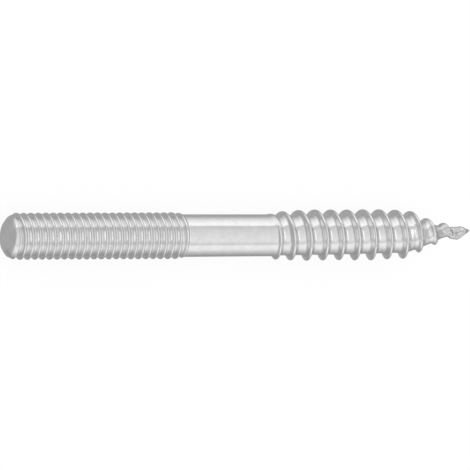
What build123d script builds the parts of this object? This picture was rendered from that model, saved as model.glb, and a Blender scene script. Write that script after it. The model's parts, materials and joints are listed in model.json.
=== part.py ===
# Hanger bolt: a machine stud at one end, a plain shank, and a wood thread with a gimlet point at the other.
# It is rolled in one piece from round steel wire, so it is one solid.
# It lies on its side along X: the end of the stud is at -X, the point at +X, and it rests on Z = 0.
# Both threads are right-hand. The stud's is a plain V, without the flats at its crest and root.
import os
from math import ceil, cos, pi, radians, sin, tan

from build123d import *

# Lengths along the bolt, from the end of the stud to the point
stud_length = 22.9
stud_runout_length = 1.5
shank_length = 11.7
wood_thread_length = 17.8
point_length = 9.6

# Stud, an M6 thread with a crowned and chamfered end
stud_diameter = 5.95
stud_root_diameter = 4.8
stud_pitch = 1.0
stud_clock_share = 0.48
end_flat_diameter = 2.8
end_crown_diameter = 4.9
end_crown_depth = 0.3
end_rim_diameter = 5.4
end_rim_depth = 0.7
end_chamfer_angle = 45.0
end_overrun = 0.3

# Plain shank, the wire's own diameter, sunk into both threads by cones
shank_diameter = 5.38
shank_sink = 0.2
stud_inside_share = 0.9

# Wood thread, whose core tapers towards the point
wood_major_diameter = 6.5
wood_core_diameter = 5.2
wood_core_end_diameter = 4.75
wood_pitch = 2.21
ridge_foot_width = 1.26
ridge_crest_width = 0.3
ridge_clock_share = 0.283
ridge_runin_turns_share = 0.8
shank_cone_turns_share = 0.5

# Gimlet point: shoulder, cone, neck, and a tip pinched to a small leaf that stands off the axis
neck_diameter = 1.2
leaf_width = 1.66
leaf_thickness = 0.9
tip_diameter = 0.1
tip_offset = 0.43
tip_bend_power = 1.5
point_ridge_height = 0.45
point_sink = 0.3
shoulder_along_share = 0.12
shoulder_diameter_share = 0.93
neck_along_share = 0.68
leaf_along_share = 0.82
taper_along_share = 0.93
taper_width_share = 0.5
ridge_full_along_share = 0.62
ridge_end_along_share = 0.72

# Turns that a thread is hidden for at its start, facets of the stud's and points and spans of the wood thread's
# edges in one turn, and sides of the pinched leaf
hidden_turns = 2
stud_facets = 20
points_per_turn = 12
spans_per_turn = 2
leaf_sides = 6

# Stations along the axis, counted from the end of the stud
shank_start = stud_length + stud_runout_length
wood_start = shank_start + shank_length
point_start = wood_start + wood_thread_length
overall_length = point_start + point_length
ridge_end = point_start + point_length * ridge_end_along_share
sink_end = ridge_end - wood_pitch
sink_start = sink_end - wood_pitch
shoulder_diameter = wood_core_end_diameter * shoulder_diameter_share

# The part's frame: the middle of the bolt over the origin, its thickest stretch on the surface
end_x = -overall_length / 2
axis_height = max(wood_major_diameter, stud_diameter) / 2
bolt_plane = Plane(origin=(end_x, 0, axis_height), x_dir=(1, 0, 0), z_dir=(0, -1, 0))
bolt_axis = Axis((end_x, 0, axis_height), (1, 0, 0))


def progress(value, low, high):
    """Share of the way that a value has come from low to high, held between 0 and 1."""
    return min(max((value - low) / (high - low), 0), 1)


def along_point(station):
    """Share of the gimlet point's length that lies before a station."""
    return progress(station, point_start, overall_length)


def side_offset(station):
    """Distance along Y from the bolt's axis to the centre of the point, which bends off to one side."""
    return tip_offset * along_point(station) ** tip_bend_power


def stud_root(station):
    """Radius at the root of the stud's thread."""
    return stud_root_diameter / 2


def stud_crest(station):
    """Radius at the crest of the stud's thread, which runs out into the shank."""
    fall = progress(station, stud_length, shank_start)
    return (stud_diameter + (stud_root_diameter - stud_diameter) * fall) / 2


def core_radius(station):
    """Radius under the wood thread: a slow taper, then the shoulder and the cone of the point."""
    share = along_point(station)
    diameter = wood_core_diameter
    diameter += (wood_core_end_diameter - wood_core_diameter) * progress(station, wood_start, point_start)
    diameter += (shoulder_diameter - wood_core_end_diameter) * progress(share, 0, shoulder_along_share)
    diameter += (neck_diameter - shoulder_diameter) * progress(share, shoulder_along_share, neck_along_share)
    return diameter / 2


def ridge_foot(station):
    """Radius at the foot of the wood thread's ridge, on the core, which sinks into the cone near the neck."""
    return core_radius(station) - point_sink * progress(station, sink_start, sink_end)


def ridge_crest(station):
    """Radius of the wood thread's crest: it rises at the shank, follows the point and sinks in at its neck."""
    share = along_point(station)
    thread_height = wood_major_diameter / 2 - core_radius(min(station, point_start))
    height = thread_height + (point_ridge_height - thread_height) * progress(share, 0, ridge_full_along_share)
    rise = sin(pi / 2 * progress(station, wood_start, wood_start + wood_pitch * ridge_runin_turns_share))
    fall = 1 - progress(share, ridge_full_along_share, ridge_end_along_share)
    return ridge_foot(station) + (core_radius(station) + height - ridge_foot(station)) * rise * fall


def thread_edge(start, turns, pitch, clock_share, facets, offset, radius_at):
    """One helical edge of a thread in spans, at an offset along the axis, with its radius given by station.

    With facets, the spans are that many straight lines in a turn. Without, they are parts of a smooth curve.
    """
    count = round(turns * (facets or points_per_turn))
    points = []
    for index in range(count + 1):
        station = start + offset + pitch * turns * index / count
        angle = 2 * pi * (turns * index / count + clock_share)
        radius = radius_at(station)
        points.append((
            end_x + station,
            side_offset(station) + radius * cos(angle),
            axis_height + radius * sin(angle),
        ))
    if facets:
        return [Edge.make_line(near, far) for near, far in zip(points, points[1:])]
    curve = Edge.make_spline(points, parameters=[index / count for index in range(count + 1)])
    ends = points[::points_per_turn // spans_per_turn]
    return [curve.trim(near, far) for near, far in zip(ends, ends[1:])]


def step_faces(axis, profile):
    """The step at one end of a thread, between two turns: a fan from the middle of the axis to the profile."""
    points = [axis[0] @ 0] + [line @ 1 for line in axis]
    middle = len(axis) // 2
    outlines = [points[middle:] + profile[:1]]
    outlines += [[points[middle], near, far] for near, far in zip(profile, profile[1:])]
    outlines += [profile[-1:] + points[:middle + 1]]
    return [Face(Wire.make_polygon(outline, close=True)) for outline in outlines]


def threaded_solid(start, turns, pitch, clock_share, facets, section):
    """A threaded length: ruled strips between its helical edges, closed at both ends through the axis.

    The section lists each edge of one turn as its offset along the axis and its radius by station.
    """
    turn = facets or spans_per_turn
    edges = [thread_edge(start, turns, pitch, clock_share, facets, *place) for place in section]
    axes = []
    for axis_start in (start + section[0][0], start + section[-1][0] + pitch * (turns - 1)):
        stations = [axis_start + pitch * span / turn for span in range(turn + 1)]
        points = [(end_x + station, side_offset(station), axis_height) for station in stations]
        axes.append([Edge.make_line(near, far) for near, far in zip(points, points[1:])])
    first_axis, last_axis = axes

    # Strips of each turn, with the last edge of a turn joined to the first edge of the next
    strips = [pair for near, far in zip(edges, edges[1:]) for pair in zip(near, far)]
    strips += zip(edges[-1][:-turn], edges[0][turn:])
    strips += zip(first_axis, edges[0][:turn])
    strips += zip(edges[-1][-turn:], last_axis)
    if facets:
        corners = [(near @ 0, near @ 1, far @ 1, far @ 0) for near, far in strips]
        halves = [half for a, b, c, d in corners for half in ((a, b, c), (a, c, d))]
        faces = [Face(Wire.make_polygon(half, close=True)) for half in halves]
    else:
        faces = [Face.make_surface_from_curves(near, far) for near, far in strips]

    # Steps that close the first turn and the last
    faces += step_faces(first_axis, [edges[0][turn] @ 0] + [edge[0] @ 0 for edge in reversed(edges)])
    faces += step_faces(last_axis, [edge[-1] @ 1 for edge in reversed(edges)] + [edges[-1][-turn] @ 0])
    return Solid(Shell(faces))


def point_plane(station):
    """Plane across the gimlet point, centred on its bent axis."""
    return Plane(
        origin=(end_x + station, side_offset(station), axis_height), x_dir=(0, 1, 0), z_dir=(1, 0, 0)
    )


# Thread of the stud, a V from root to crest, longer than the stud at both ends
stud_thread = threaded_solid(
    start=-hidden_turns * stud_pitch,
    turns=ceil(shank_start / stud_pitch) + 2 * hidden_turns,
    pitch=stud_pitch,
    clock_share=stud_clock_share,
    facets=stud_facets,
    section=[(-stud_pitch / 2, stud_root), (0, stud_crest)],
)

# Wood thread on its core, from inside the shank to the neck of the point
wood_thread = threaded_solid(
    start=wood_start - hidden_turns * wood_pitch,
    turns=ceil((ridge_end - wood_start) / wood_pitch * spans_per_turn) / spans_per_turn + hidden_turns,
    pitch=wood_pitch,
    clock_share=ridge_clock_share,
    facets=None,
    section=[
        (-ridge_foot_width / 2, ridge_foot),
        (-ridge_crest_width / 2, ridge_crest),
        (ridge_crest_width / 2, ridge_crest),
        (ridge_foot_width / 2, ridge_foot),
    ],
)

with BuildPart() as hanger_bolt:
    # Stud: what its crowned and chamfered outline leaves of the thread
    with BuildSketch(bolt_plane):
        with BuildLine():
            outer_radius = stud_diameter / 2 + end_overrun
            chamfer_rise = outer_radius - end_rim_diameter / 2
            chamfer_end = end_rim_depth + chamfer_rise / tan(radians(end_chamfer_angle))
            stud_end = stud_length + stud_runout_length * stud_inside_share
            Polyline(
                (0, 0),
                (0, end_flat_diameter / 2),
                (end_crown_depth, end_crown_diameter / 2),
                (end_rim_depth, end_rim_diameter / 2),
                (chamfer_end, outer_radius),
                (stud_end, outer_radius),
                (stud_end, 0),
                close=True,
            )
        make_face()
    revolve(axis=bolt_axis)
    add(stud_thread, mode=Mode.INTERSECT)

    # Plain shank, with a cone at each end that sinks into the thread
    with BuildSketch(bolt_plane):
        with BuildLine():
            cone_end = wood_start + wood_pitch * shank_cone_turns_share
            Polyline(
                (stud_length, 0),
                (stud_length, stud_root_diameter / 2 - shank_sink),
                (shank_start, shank_diameter / 2),
                (wood_start, shank_diameter / 2),
                (cone_end, wood_core_diameter / 2 - shank_sink),
                (cone_end, 0),
                close=True,
            )
        make_face()
    revolve(axis=bolt_axis)

    # Wood thread
    add(wood_thread)

    # Cone of the gimlet point, which comes out of the thread's core before the neck
    neck = point_start + point_length * neck_along_share
    cone_sections = [
        (sink_start, core_radius(sink_start) - point_sink),
        (sink_end, core_radius(sink_end)),
        (neck, neck_diameter / 2),
    ]
    for station, radius in cone_sections:
        with BuildSketch(point_plane(station)):
            Circle(radius)
    loft(ruled=True)

    # Leaf at the tip, pinched flat between the neck and the very point
    leaf_sections = [
        (neck_along_share, neck_diameter, neck_diameter),
        (leaf_along_share, leaf_width, leaf_thickness),
        (taper_along_share, leaf_width * taper_width_share, leaf_thickness * taper_width_share),
        (1, tip_diameter, tip_diameter),
    ]
    corner_angles = [2 * pi * side / leaf_sides for side in range(leaf_sides)]
    for along_share, width, thickness in leaf_sections:
        corners = [(width / 2 * cos(angle), thickness / 2 * sin(angle)) for angle in corner_angles]
        with BuildSketch(point_plane(point_start + point_length * along_share)):
            with BuildLine():
                Polyline(corners, close=True)
            make_face()
    loft(ruled=True)

os.makedirs("parts", exist_ok=True)
hanger_bolt.part.label = "hanger_bolt"
export_step(hanger_bolt.part, "parts/hanger_bolt.step")
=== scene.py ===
import json
import math

import bpy
from mathutils import Matrix, Vector


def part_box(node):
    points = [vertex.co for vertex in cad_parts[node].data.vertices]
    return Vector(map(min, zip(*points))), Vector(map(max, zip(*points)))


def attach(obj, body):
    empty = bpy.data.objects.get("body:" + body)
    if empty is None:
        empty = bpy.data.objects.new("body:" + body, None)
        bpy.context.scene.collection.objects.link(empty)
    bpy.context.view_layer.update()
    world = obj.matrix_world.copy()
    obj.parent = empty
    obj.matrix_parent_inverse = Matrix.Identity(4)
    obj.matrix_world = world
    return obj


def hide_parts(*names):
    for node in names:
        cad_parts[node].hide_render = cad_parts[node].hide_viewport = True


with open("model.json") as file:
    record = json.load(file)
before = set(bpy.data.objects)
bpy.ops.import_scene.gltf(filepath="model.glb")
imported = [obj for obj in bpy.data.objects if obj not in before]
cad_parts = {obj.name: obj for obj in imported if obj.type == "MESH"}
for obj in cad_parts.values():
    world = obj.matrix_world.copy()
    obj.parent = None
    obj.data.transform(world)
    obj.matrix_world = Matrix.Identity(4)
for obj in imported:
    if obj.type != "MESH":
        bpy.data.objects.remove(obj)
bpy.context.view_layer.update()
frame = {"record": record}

# Lengths below are in millimetres, where no metres are named, and stations are measured from the flat end of
# the stud
mm = 0.001
sweep = {
    "stepsPerTurn": 96,
    "ringReach": 0.0006,        # vertices this close to a station belong to its ring
    "doubles": 0.0005,
    "slivers": 0.0001,
}
mounts = {mount["name"]: mount for mount in frame["record"]["mounts"]}
lowCorner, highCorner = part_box("hanger_bolt")
endX = lowCorner.x
boltLength = (highCorner.x - lowCorner.x) / mm
axisZ = mounts["stud"]["pos_m"][2]


def rise(value, low, high):
    # a soft step from 0 to 1
    share = min(max((value - low) / (high - low), 0), 1)
    return share * share * (3 - 2 * share)


def between(table, station):
    # values of a table at a station, on smooth curves through its rows
    last = len(table) - 1
    index = next((place for place in range(last) if station <= table[place + 1][0]), last - 1)
    row, following = table[index:index + 2]
    before, after = table[max(index - 1, 0)], table[min(index + 2, last)]
    span = following[0] - row[0]
    share = min(max((station - row[0]) / span, 0), 1)
    values = []
    for a, b, c, d in zip(before[1:], row[1:], following[1:], after[1:]):
        leaving = (c - a) / (following[0] - before[0]) * span
        arriving = (d - b) / (after[0] - row[0]) * span
        bend = (leaving - (c - b)) * (1 - share) + ((c - b) - arriving) * share
        values.append(b + (c - b) * share + bend * share * (1 - share))
    return values


def selectOnly(piece):
    bpy.ops.object.select_all(action="DESELECT")
    piece.select_set(True)
    bpy.context.view_layer.objects.active = piece


def selectRings(piece, stations):
    # the open rings of vertices at these stations, in edit mode
    selectOnly(piece)
    bpy.ops.object.mode_set(mode="EDIT")
    bpy.ops.mesh.select_mode(type="VERT")
    bpy.ops.mesh.select_all(action="DESELECT")
    bpy.ops.object.mode_set(mode="OBJECT")
    for vertex in piece.data.vertices:
        station = (vertex.co.x - endX) / mm
        vertex.select = any(abs(station - ring) < sweep["ringReach"] for ring in stations)
    bpy.ops.object.mode_set(mode="EDIT")


def drawSection(name, section, middle, lowRadius, height):
    # one pitch of a thread, drawn from a single vertex by extruding it along the section
    bpy.ops.object.select_all(action="DESELECT")
    bpy.ops.mesh.primitive_plane_add(size=mm)
    piece = bpy.context.object
    piece.name = name
    bpy.ops.object.mode_set(mode="EDIT")
    bpy.ops.mesh.merge(type="CENTER")
    halves = [(-along, share) for along, share in reversed(section)] + section[1:]
    points = [Vector((middle + along, lowRadius + share * height, 0)) * mm for along, share in halves]
    bpy.ops.transform.translate(value=points[0])
    for last, following in zip(points, points[1:]):
        bpy.ops.mesh.extrude_region_move(TRANSFORM_OT_translate={"value": following - last})
    bpy.ops.object.mode_set(mode="OBJECT")
    return piece


def sweepThread(piece, pitch, turns):
    screw = piece.modifiers.new("thread", "SCREW")
    screw.axis = "X"
    screw.angle = math.tau
    screw.screw_offset = pitch * mm
    screw.iterations = turns
    screw.steps = sweep["stepsPerTurn"]
    screw.render_steps = sweep["stepsPerTurn"]
    screw.use_normal_calculate = False
    selectOnly(piece)
    bpy.ops.object.modifier_apply(modifier="thread")


def reshape(piece, shapeAt):
    # each vertex moves to the station, side offset and radius that shapeAt gives for it, at its own angle
    for vertex in piece.data.vertices:
        angle = math.atan2(vertex.co.z, vertex.co.y)
        reach = math.hypot(vertex.co.y, vertex.co.z) / mm
        station, side, radius = shapeAt(vertex.co.x / mm, angle, reach)
        vertex.co.x = endX + station * mm
        vertex.co.y = (side + radius * math.cos(angle)) * mm
        vertex.co.z = axisZ + radius * math.sin(angle) * mm
    selectOnly(piece)
    bpy.ops.object.mode_set(mode="EDIT")
    bpy.ops.mesh.select_all(action="SELECT")
    bpy.ops.mesh.remove_doubles(threshold=sweep["doubles"] * mm)
    bpy.ops.mesh.dissolve_degenerate(threshold=sweep["slivers"] * mm)
    bpy.ops.object.mode_set(mode="OBJECT")


# Plain shank: the rolling blank, which both threads run out into
shank = {
    "startStation": 24.6,
    "endStation": 34.3,
    "startRadius": 2.71,
    "endRadius": 2.675,
    "cuts": 9,
}

# Crowned end of the stud: the blank was cut off a little askew
crown = {
    # station, radius
    "profile": [(0, 1.86), (0.1, 2.0), (0.2, 2.14), (0.3, 2.28), (0.4, 2.41), (0.5, 2.52), (0.6, 2.61),
                (0.72, 2.67), (0.86, 2.74), (1.0, 2.79), (1.2, 2.94), (1.4, 3.1)],
    "rings": [0.5, 0.42, 0.34, 0.26, 0.18, 0.1, 0.04, 0],
    "inset": 0.15,
    "skew": 0.05,
    "skewFades": (0.6, 1.6),
}

# Stud: the machine thread, swept along its helix
stud = {
    "radius": mounts["stud"]["dims"]["r_mm"],
    "pitch": 1.0,
    "depth": 0.535,
    "crestStation": 0.52,       # a crest passes here on the +Y side
    "leadTurns": 2,
    "turns": 27,
    # half of the thread's section: distance from the crest, share of the depth
    "section": [(0, 1), (0.04, 0.99), (0.08, 0.959), (0.12, 0.902), (0.16, 0.804), (0.255, 0.497),
                (0.35, 0.189), (0.3875, 0.097), (0.425, 0.043), (0.4625, 0.015), (0.5, 0)],
    "crestForms": (0.8, 1.2),   # the first turn rises out of a plain rim
    "rootForms": (0.5, 0.8),
    "rimRadius": 2.75,
    "runout": (22.8, 24.1),     # the dies leave the blank here, with a small step
    "runoutLift": 0.62,
    "bulge": 0.035,
    "dieEdge": (23.88, 24.02),
    "waver": 0.006,
    "waverStations": (5.3, 1.37),
}


def waverAt(station, piece):
    # rolled threads are never quite even
    longWave, shortWave = piece["waverStations"]
    waves = math.sin(math.tau * station / longWave) + math.sin(math.tau * station / shortWave)
    return piece["waver"] * waves


def shapeStud(station, angle, radius):
    # rows past either end gather in a ring there
    station = min(max(station, crown["rings"][0]), shank["startStation"])
    share = (radius - stud["radius"] + stud["depth"]) / stud["depth"]
    radius += share * waverAt(station, stud)
    forms = stud["crestForms"] if radius > stud["rimRadius"] else stud["rootForms"]
    radius = stud["rimRadius"] + (radius - stud["rimRadius"]) * rise(station, *forms)
    runout = rise(station, *stud["runout"])
    radius += (shank["startRadius"] + stud["bulge"] - radius) * runout * stud["runoutLift"]
    radius += (shank["startRadius"] - radius) * rise(station, *stud["dieEdge"])
    return station, 0, min(radius, *between(crown["profile"], station))


studPiece = drawSection(
    "studThread", stud["section"], stud["crestStation"] - stud["leadTurns"] * stud["pitch"],
    stud["radius"] - stud["depth"], stud["depth"]
)
sweepThread(studPiece, stud["pitch"], stud["turns"])
reshape(studPiece, shapeStud)
print("stud thread", len(studPiece.data.polygons), "faces")

# Wood thread and gimlet point: a coarse ridge on a slim core, swept the same way
wood = {
    "radius": mounts["wood_thread"]["dims"]["r_mm"],
    "pitch": 2.21,
    "coreForms": (36.1, 37.205),    # the shank's radius falls to the core's here
    "crestStation": 31.055,     # a crest would pass here on the +Y side
    "turns": 17,
    "coreRadius": 2.6,
    "coreEndRadius": 2.375,
    # half of the ridge's section: distance from the crest, share of the height
    "section": [(0, 1), (0.07, 0.985), (0.125, 0.94), (0.17, 0.87), (0.25, 0.68), (0.33, 0.48), (0.42, 0.29),
                (0.52, 0.145), (0.63, 0.055), (0.76, 0.012), (0.93, 0), (1.105, 0)],
    # how the ridge starts: station of its crest, share of the height, shift along the bolt
    "runin": [(35.1, 0, 0.5), (35.475, 0.12, 0.5), (36.03, 0.5, 0.37), (36.58, 0.78, 0.2), (37.1, 0.72, 0.06),
              (37.7, 0.75, 0), (38.8, 0.93, 0), (39.9, 0.95, 0), (41, 1, 0)],
    "shiftSpan": (0.25, 1.05),  # how far from the crest the shift reaches
    "startPower": 2.2,          # the ridge starts narrow and widens
    "widens": (36.6, 38.8),
    "taper": 0.1,               # the last full turns are a little lower
    "taperSpan": (50, 53.9),
    "waver": 0.018,
    "waverStations": (7.9, 1.83),
}
point = {
    "start": 53.9,
    "neck": 60.45,
    # how the ridge ends: station of its crest, its height, shift along the bolt
    "runout": [(53.9, 0.775, 0), (55.4, 0.74, 0), (56.5, 0.61, 0), (57.6, 0.55, 0), (58.7, 0.47, 0.06),
               (59.8, 0.5, 0.22), (60.1, 0.4, 0.24), (60.5, 0, 0.24), (61, 0, 0.24)],
    # station, radius of the core, offset of its centre to +Y
    "cone": [(53.9, 2.375, 0.06), (54.7, 2.345, 0.08), (55.3, 2.2, 0.09), (56.5, 1.75, 0.1),
             (57.6, 1.43, 0.11), (59.0, 0.93, 0.24), (60.45, 0.53, 0.29)],
    "bend": 0.06,               # the bolt leans this far to +Y by the start of the cone
    "bendSpan": (46, 53.9),
    # station, half width, half thickness, offset of its centre to +Y
    "leaf": [(60.45, 0.53, 0.53, 0.29), (60.7, 0.7, 0.58, 0.25), (61.0, 0.77, 0.58, 0.21),
             (61.5, 0.8, 0.62, 0.17), (61.8, 0.83, 0.65, 0.17), (62.2, 0.75, 0.65, 0.29),
             (62.6, 0.56, 0.54, 0.39), (62.95, 0.35, 0.36, 0.41), (63.15, 0.26, 0.22, 0.44),
             (63.35, 0.15, 0.12, 0.49), (63.48, 0.04, 0.04, 0.53)],
    "leafForms": (60.45, 60.9),
    "leafPower": 2.0,
    "hollow": 0.58,
    "hollowSpan": (60.75, 61.2, 62.3, 62.8),
    "hollowWidths": (0.1, 0.8), # shares of the leaf's width: the floor of the hollow and its rim
    "bump": 0.6,
    "bumpSpan": (61.3, 61.55, 61.7, 61.95),
    "bumpWidth": 0.2,
}


def coreAt(station):
    start = wood["coreForms"][0]
    if station < start:
        return shank["endRadius"], 0
    if station < point["start"]:
        share = (station - start) / (point["start"] - start)
        core = wood["coreRadius"] + (wood["coreEndRadius"] - wood["coreRadius"]) * share
        formed = rise(station, *wood["coreForms"])
        side = point["bend"] * rise(station, *point["bendSpan"])
        return shank["endRadius"] + (core - shank["endRadius"]) * formed, side
    return between(point["cone"], station)


def ridgeAt(crest):
    # height of the ridge over its core and its shift along the bolt, at the station of its crest
    if crest > point["start"]:
        return between(point["runout"], crest)
    started, shift = between(wood["runin"], crest)
    radius = wood["radius"] - wood["taper"] * rise(crest, *wood["taperSpan"]) + waverAt(crest, wood)
    return (radius - coreAt(crest)[0]) * started, shift


def spanShare(station, span):
    return rise(station, span[0], span[1]) * (1 - rise(station, span[2], span[3]))


def leafAt(station, angle):
    # a flat blade with rounded rims, hollowed on its two faces round a small bump
    width, thickness, side = between(point["leaf"], station)
    power = point["leafPower"]
    outline = (abs(math.cos(angle)) / width) ** power + (abs(math.sin(angle)) / thickness) ** power
    radius = outline ** (-1 / power)
    across = radius * abs(math.cos(angle)) / width
    hollow = spanShare(station, point["hollowSpan"]) * (1 - rise(across, *point["hollowWidths"]))
    bump = point["bump"] * spanShare(station, point["bumpSpan"]) * (1 - rise(across, 0, point["bumpWidth"]))
    radius *= 1 - point["hollow"] * hollow * (1 - bump)
    return width + (radius - width) * rise(station, *point["leafForms"]), side


def shapeWood(station, angle, radius):
    share = max((radius - wood["coreRadius"]) / (wood["radius"] - wood["coreRadius"]), 0)
    turn = (station - wood["crestStation"]) / wood["pitch"] - angle / math.tau
    fromCrest = (turn - round(turn)) * wood["pitch"]
    crest = station - fromCrest         # the ridge that this vertex belongs to
    station = min(max(station, shank["endStation"]), point["leaf"][-1][0])
    if station > point["neck"]:
        core, side = leafAt(station, angle)
    else:
        core, side = coreAt(station)
    share **= wood["startPower"] + (1 - wood["startPower"]) * rise(crest, *wood["widens"])
    height, shift = ridgeAt(crest)
    weight = share if crest > point["start"] else 1 - rise(abs(fromCrest), *wood["shiftSpan"])
    shifted = weight * shift if height > 0 and share > 0 else 0
    return station + shifted, side, core + share * max(height, 0)


woodPiece = drawSection(
    "woodThread", wood["section"], wood["crestStation"],
    wood["coreRadius"], wood["radius"] - wood["coreRadius"]
)
sweepThread(woodPiece, wood["pitch"], wood["turns"])
reshape(woodPiece, shapeWood)
print("wood thread", len(woodPiece.data.polygons), "faces")

# One bolt: the plain shank is bridged between the two threads
selectOnly(woodPiece)
studPiece.select_set(True)
bpy.context.view_layer.objects.active = studPiece
bpy.ops.object.join()
bolt = studPiece
bolt.name = "hangerBolt"
bolt.data.name = "hangerBolt"
selectRings(bolt, [shank["startStation"], shank["endStation"]])
bpy.ops.mesh.bridge_edge_loops(number_cuts=shank["cuts"], interpolation="LINEAR")
bpy.ops.object.mode_set(mode="OBJECT")

# Crown: the ring at the end of the thread is extruded inwards and closed with a flat face
selectRings(bolt, crown["rings"][:1])
for station, following in zip(crown["rings"], crown["rings"][1:]):
    bpy.ops.mesh.extrude_region_move(TRANSFORM_OT_translate={"value": ((following - station) * mm, 0, 0)})
    shrink = between(crown["profile"], following)[0] / between(crown["profile"], station)[0]
    bpy.ops.transform.resize(value=(1, shrink, shrink), center_override=(endX + following * mm, 0, axisZ))
bpy.ops.mesh.edge_face_add()
bpy.ops.mesh.inset(thickness=crown["inset"] * mm)
bpy.ops.object.mode_set(mode="OBJECT")
selectRings(bolt, crown["rings"][-1:])
bpy.ops.mesh.mark_sharp()
bpy.ops.object.mode_set(mode="OBJECT")

# Tip of the leaf: its last ring closes to a point
selectRings(bolt, [point["leaf"][-1][0]])
bpy.ops.mesh.merge(type="CENTER")
bpy.ops.mesh.select_all(action="SELECT")
bpy.ops.mesh.normals_make_consistent(inside=False)
bpy.ops.mesh.select_all(action="DESELECT")
bpy.ops.mesh.select_non_manifold()
bpy.ops.object.mode_set(mode="OBJECT")
openEdges = sum(edge.select for edge in bolt.data.edges)
for vertex in bolt.data.vertices:
    fade = 1 - rise((vertex.co.x - endX) / mm, *crown["skewFades"])
    vertex.co.x += crown["skew"] * vertex.co.y * fade
bpy.ops.object.shade_smooth()
triangles = sum(len(face.vertices) - 2 for face in bolt.data.polygons)
print("hanger bolt", triangles, "triangles,", openEdges, "open edges")


def toLinear(hexColour):
    # a hex colour as linear light, by the sRGB curve
    channels = [int(hexColour[place:place + 2], 16) / 255 for place in (1, 3, 5)]
    return [c / 12.92 if c <= 0.04045 else ((c + 0.055) / 1.055) ** 2.4 for c in channels] + [1]


def addNode(tree, kind, settings=None, links=None, stops=None):
    # one node, with values for its inputs or properties, links into its inputs and stops for its colour ramp
    node = tree.nodes.new(kind)
    for name, value in (settings or {}).items():
        if isinstance(name, int) or name in node.inputs:
            node.inputs[name].default_value = value
        else:
            setattr(node, name, value)
    for name, source in (links or {}).items():
        tree.links.new(source, node.inputs[name])
    for index, (position, colour) in enumerate(stops or []):
        elements = node.color_ramp.elements
        if index == 0:
            elements.remove(elements[1])
        stop = elements.new(position) if index else elements[0]
        stop.position = position
        stop.color = colour
    return node


# Bright zinc plating on rolled steel: a pale, neutral metal. The plating follows the steel below it, so the
# threads are mottled by the dies, and the plain shank keeps the straight marks of wire drawing
zinc = {
    "colours": ("#dfdfdf", "#e6e6e6"),
    "tipShadeColour": "#cecece",     # painted shade: the tip's colour is darkened, standing in for the dimmer light there
    "tip": (26.6, 27.8),        # along X: where the tip begins
    "blotch": 0.8,
    "blotchRange": (0.35, 0.65),    # the part of the noise that the colours span
    "grainRange": (0.3, 0.7),   # and the roughness
    "roughness": (0.08, 0.18),
    "grain": 0.36,              # drawn coarser than plating is, so that it shows
    "grainHeight": 0.0028,
    "drawMark": (5.0, 0.3),     # length and width, the width drawn coarser too
    "drawMarkHeight": 0.003,
    "rollMark": (0.24, 3.0),    # width along the bolt and length round it
    "rollMarkHeight": 0.003,
    "shank": (-7.6, -7.2, 4.0, 4.6),    # along X: the plain shank between the threads
    "detail": 3,
}


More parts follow.
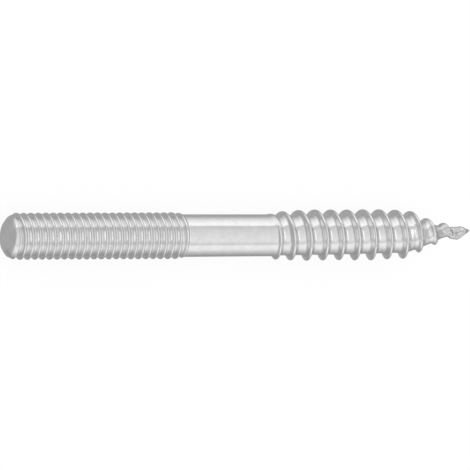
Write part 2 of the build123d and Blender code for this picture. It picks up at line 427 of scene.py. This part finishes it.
def zincPlatedSteel():
    material = bpy.data.materials.new("zincPlatedSteel")
    material.use_nodes = True
    tree = material.node_tree
    tree.nodes.clear()
    place = addNode(tree, "ShaderNodeTexCoord").outputs["Object"]
    along = addNode(tree, "ShaderNodeSeparateXYZ", links={"Vector": place}).outputs["X"]
    starts = addNode(tree, "ShaderNodeMapRange", {
        "interpolation_type": "SMOOTHSTEP",
        "From Min": zinc["shank"][0] * mm, "From Max": zinc["shank"][1] * mm,
    }, {"Value": along})
    ends = addNode(tree, "ShaderNodeMapRange", {
        "interpolation_type": "SMOOTHSTEP",
        "From Min": zinc["shank"][2] * mm, "From Max": zinc["shank"][3] * mm,
        "To Min": 1, "To Max": 0,
    }, {"Value": along})
    onShank = addNode(tree, "ShaderNodeMath", {"operation": "MULTIPLY"},
                      {0: starts.outputs[0], 1: ends.outputs[0]})
    onThread = addNode(tree, "ShaderNodeMath", {"operation": "SUBTRACT", 0: 1}, {1: onShank.outputs[0]})

    blotch = addNode(tree, "ShaderNodeTexNoise",
                     {"Scale": 1 / (zinc["blotch"] * mm), "Detail": zinc["detail"]}, {"Vector": place})
    grain = addNode(tree, "ShaderNodeTexNoise",
                    {"Scale": 1 / (zinc["grain"] * mm), "Detail": zinc["detail"]}, {"Vector": place})
    length, width = zinc["drawMark"]
    drawn = addNode(tree, "ShaderNodeMapping", {
        "Scale": (1 / (length * mm), 1 / (width * mm), 1 / (width * mm)),
    }, {"Vector": place})
    drawMark = addNode(tree, "ShaderNodeTexNoise", {"Scale": 1, "Detail": zinc["detail"]},
                       {"Vector": drawn.outputs["Vector"]})
    width, length = zinc["rollMark"]
    rolled = addNode(tree, "ShaderNodeMapping", {
        "Scale": (1 / (width * mm), 1 / (length * mm), 1 / (length * mm)),
    }, {"Vector": place})
    rollMark = addNode(tree, "ShaderNodeTexNoise", {"Scale": 1, "Detail": zinc["detail"]},
                       {"Vector": rolled.outputs["Vector"]})

    # heights in millimetres, added up
    drawHeight = addNode(tree, "ShaderNodeMath", {"operation": "MULTIPLY", 1: zinc["drawMarkHeight"]},
                         {0: drawMark.outputs[0]})
    onlyDrawn = addNode(tree, "ShaderNodeMath", {"operation": "MULTIPLY"},
                        {0: drawHeight.outputs[0], 1: onShank.outputs[0]})
    rollHeight = addNode(tree, "ShaderNodeMath", {"operation": "MULTIPLY", 1: zinc["rollMarkHeight"]},
                         {0: rollMark.outputs[0]})
    grainHeight = addNode(tree, "ShaderNodeMath", {"operation": "MULTIPLY_ADD", 1: zinc["grainHeight"]},
                          {0: grain.outputs[0], 2: rollHeight.outputs[0]})
    height = addNode(tree, "ShaderNodeMath", {"operation": "MULTIPLY_ADD"}, {
        0: grainHeight.outputs[0], 1: onThread.outputs[0], 2: onlyDrawn.outputs[0],
    })
    relief = addNode(tree, "ShaderNodeBump", {"Strength": 1, "Distance": mm}, {"Height": height.outputs[0]})

    colour = addNode(tree, "ShaderNodeValToRGB", links={"Fac": blotch.outputs[0]}, stops=[
        (level, toLinear(shade)) for level, shade in zip(zinc["blotchRange"], zinc["colours"])
    ])
    # painted shade: the base colour darkens towards the tip
    onShadedTip = addNode(tree, "ShaderNodeMapRange", {
        "interpolation_type": "SMOOTHSTEP", "From Min": zinc["tip"][0] * mm, "From Max": zinc["tip"][1] * mm,
    }, {"Value": along})
    withTipShade = addNode(tree, "ShaderNodeMixRGB", {"Color2": toLinear(zinc["tipShadeColour"])},
                     {"Fac": onShadedTip.outputs[0], "Color1": colour.outputs["Color"]})
    roughness = addNode(tree, "ShaderNodeMapRange", {
        "From Min": zinc["grainRange"][0], "From Max": zinc["grainRange"][1],
        "To Min": zinc["roughness"][0], "To Max": zinc["roughness"][1],
    }, {"Value": grain.outputs[0]})
    shader = addNode(tree, "ShaderNodeBsdfPrincipled", {"Metallic": 1}, {
        "Base Color": withTipShade.outputs["Color"], "Roughness": roughness.outputs[0],
        "Normal": relief.outputs["Normal"],
    })
    addNode(tree, "ShaderNodeOutputMaterial", links={"Surface": shader.outputs["BSDF"]})
    return material


bolt.data.materials.clear()
bolt.data.materials.append(zincPlatedSteel())
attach(bolt, "root")
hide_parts("hanger_bolt")
print("zinc plating on", bolt.name)

# Pale floor, lit like a light table, so that the bolt throws next to no shadow
floor = {
    "size": 1.6,                # metres
    "colour": "#707070",
    "light": "#ffffff",
    "glow": 0.87,
}
bpy.ops.object.select_all(action="DESELECT")
bpy.ops.mesh.primitive_plane_add(size=floor["size"])
floorPiece = bpy.context.object
floorPiece.name = "floor"
floorPiece.visible_glossy = False
floorMaterial = bpy.data.materials.new("paleFloor")
floorMaterial.use_nodes = True
floorTree = floorMaterial.node_tree
floorTree.nodes.clear()
floorShader = addNode(floorTree, "ShaderNodeBsdfPrincipled", {
    "Base Color": toLinear(floor["colour"]), "Roughness": 1, "Specular IOR Level": 0,
    "Emission Color": toLinear(floor["light"]), "Emission Strength": floor["glow"],
})
addNode(floorTree, "ShaderNodeOutputMaterial", links={"Surface": floorShader.outputs["BSDF"]})
floorPiece.data.materials.append(floorMaterial)

# Light tent round the bolt: grey above, white panels along both sides, darker below
tent = {
    "strength": 1.4,
    "roundSpan": (-180, 180),
    "alongSpan": (-1, 1),
    # degrees from straight up, round the bolt's axis, positive to +Y, and brightness
    "bands": [(-180, 0.34), (-140, 0.26), (-105, 0.5), (-85, 0.72), (-76, 0.76), (-58, 0.76), (-53, 0.57),
              (-45, 0.6), (-30, 0.7), (25, 0.6), (45, 0.53), (52, 0.53), (56, 0.88), (70, 0.86), (90, 0.72),
              (105, 0.55), (128, 0.32), (180, 0.34)],
    # grey curtains close the tent at both ends: share of the way along X, and of the panels' light left there
    "curtain": 0.34,
    "ends": [(-1, 0), (-0.9, 0), (-0.75, 0.35), (-0.5, 1), (0.6, 1), (0.85, 0.35), (1, 0.2)],
    # a soft box overhead, towards the point: its span along X, its reach to both sides, and its glow
    "boxAlong": [(0.5, 0), (0.56, 1), (0.63, 1), (0.7, 0)],
    "boxAcross": (0.3, 0.5),
    "boxGlow": 0.5,
}


def greyStops(table, low, high):
    # ramp stops for a table of places between low and high, and brightness
    return [((spot - low) / (high - low), (light, light, light, 1)) for spot, light in table]


world = bpy.data.worlds.new("lightTent")
bpy.context.scene.world = world
world.use_nodes = True
tree = world.node_tree
tree.nodes.clear()
direction = addNode(tree, "ShaderNodeTexCoord").outputs["Generated"]
parts = addNode(tree, "ShaderNodeSeparateXYZ", links={"Vector": direction})
lean = addNode(tree, "ShaderNodeMath", {"operation": "ARCTAN2"},
               {0: parts.outputs["Y"], 1: parts.outputs["Z"]})
round01 = addNode(tree, "ShaderNodeMapRange", {"From Min": -math.pi, "From Max": math.pi},
                  {"Value": lean.outputs[0]})
bands = addNode(tree, "ShaderNodeValToRGB", links={"Fac": round01.outputs[0]},
                stops=greyStops(tent["bands"], *tent["roundSpan"]))
along01 = addNode(tree, "ShaderNodeMapRange", {
    "From Min": tent["alongSpan"][0], "From Max": tent["alongSpan"][1],
}, {"Value": parts.outputs["X"]})
ends = addNode(tree, "ShaderNodeValToRGB", links={"Fac": along01.outputs[0]},
               stops=greyStops(tent["ends"], *tent["alongSpan"]))
lighter = addNode(tree, "ShaderNodeMath", {"operation": "SUBTRACT", 1: tent["curtain"]},
                  {0: bands.outputs["Color"]})
panels = addNode(tree, "ShaderNodeMath", {"operation": "MULTIPLY_ADD", 2: tent["curtain"]},
                 {0: lighter.outputs[0], 1: ends.outputs["Color"]})
boxAlong = addNode(tree, "ShaderNodeValToRGB", links={"Fac": along01.outputs[0]},
                   stops=greyStops(tent["boxAlong"], *tent["alongSpan"]))
sideways = addNode(tree, "ShaderNodeMath", {"operation": "ABSOLUTE"}, {0: parts.outputs["Y"]})
boxAcross = addNode(tree, "ShaderNodeMapRange", {
    "interpolation_type": "SMOOTHSTEP", "From Min": tent["boxAcross"][0], "From Max": tent["boxAcross"][1],
    "To Min": tent["boxGlow"], "To Max": 0,
}, {"Value": sideways.outputs[0]})
overhead = addNode(tree, "ShaderNodeMath", {"operation": "GREATER_THAN", 1: 0}, {0: parts.outputs["Z"]})
boxShape = addNode(tree, "ShaderNodeMath", {"operation": "MULTIPLY"},
                   {0: boxAlong.outputs["Color"], 1: boxAcross.outputs[0]})
glow = addNode(tree, "ShaderNodeMath", {"operation": "MULTIPLY_ADD"},
               {0: boxShape.outputs[0], 1: overhead.outputs[0], 2: panels.outputs[0]})
background = addNode(tree, "ShaderNodeBackground", {"Strength": tent["strength"]}, {"Color": glow.outputs[0]})
addNode(tree, "ShaderNodeOutputWorld", links={"Surface": background.outputs["Background"]})
print("light tent with", len(tent["bands"]), "bands")

# Camera: above the bolt and off its stud end, at a long focal length
view = {
    "image": 470,
    "tilt": 21.5,               # degrees off square to the bolt's axis
    "roll": 0.24,
    "lens": 900,
    "scale": 7.865,             # pixels to a millimetre at the bolt's middle
    "middle": (238.9, 235.4),   # where the middle of the bolt's axis is in the image
    "clipEnd": 20,              # metres
}
tilt = math.radians(view["tilt"])
roll = math.radians(view["roll"])
plainRight = Vector((math.cos(tilt), 0, math.sin(tilt)))
plainUp = Vector((0, 1, 0))
towards = Vector((-math.sin(tilt), 0, math.cos(tilt)))
right = plainRight * math.cos(roll) - plainUp * math.sin(roll)
up = plainUp * math.cos(roll) + plainRight * math.sin(roll)
cameraData = bpy.data.cameras.new("camera")
cameraData.lens = view["lens"]
cameraData.clip_end = view["clipEnd"]
focalPixels = view["lens"] / cameraData.sensor_width * view["image"]
distance = focalPixels / view["scale"] * mm
boltMiddle = Vector((endX + boltLength / 2 * mm, 0, axisZ))
offRight = (view["middle"][0] - view["image"] / 2) / view["scale"] * mm
offUp = (view["image"] / 2 - view["middle"][1]) / view["scale"] * mm
place = boltMiddle - right * offRight - up * offUp + towards * distance
camera = bpy.data.objects.new("camera", cameraData)
bpy.context.scene.collection.objects.link(camera)
camera.matrix_world = Matrix((
    (right.x, up.x, towards.x, place.x),
    (right.y, up.y, towards.y, place.y),
    (right.z, up.z, towards.z, place.z),
    (0, 0, 0, 1),
))
bpy.context.scene.camera = camera
bpy.context.scene.view_settings.view_transform = "Standard"
print("camera", round(distance, 3), "m away")
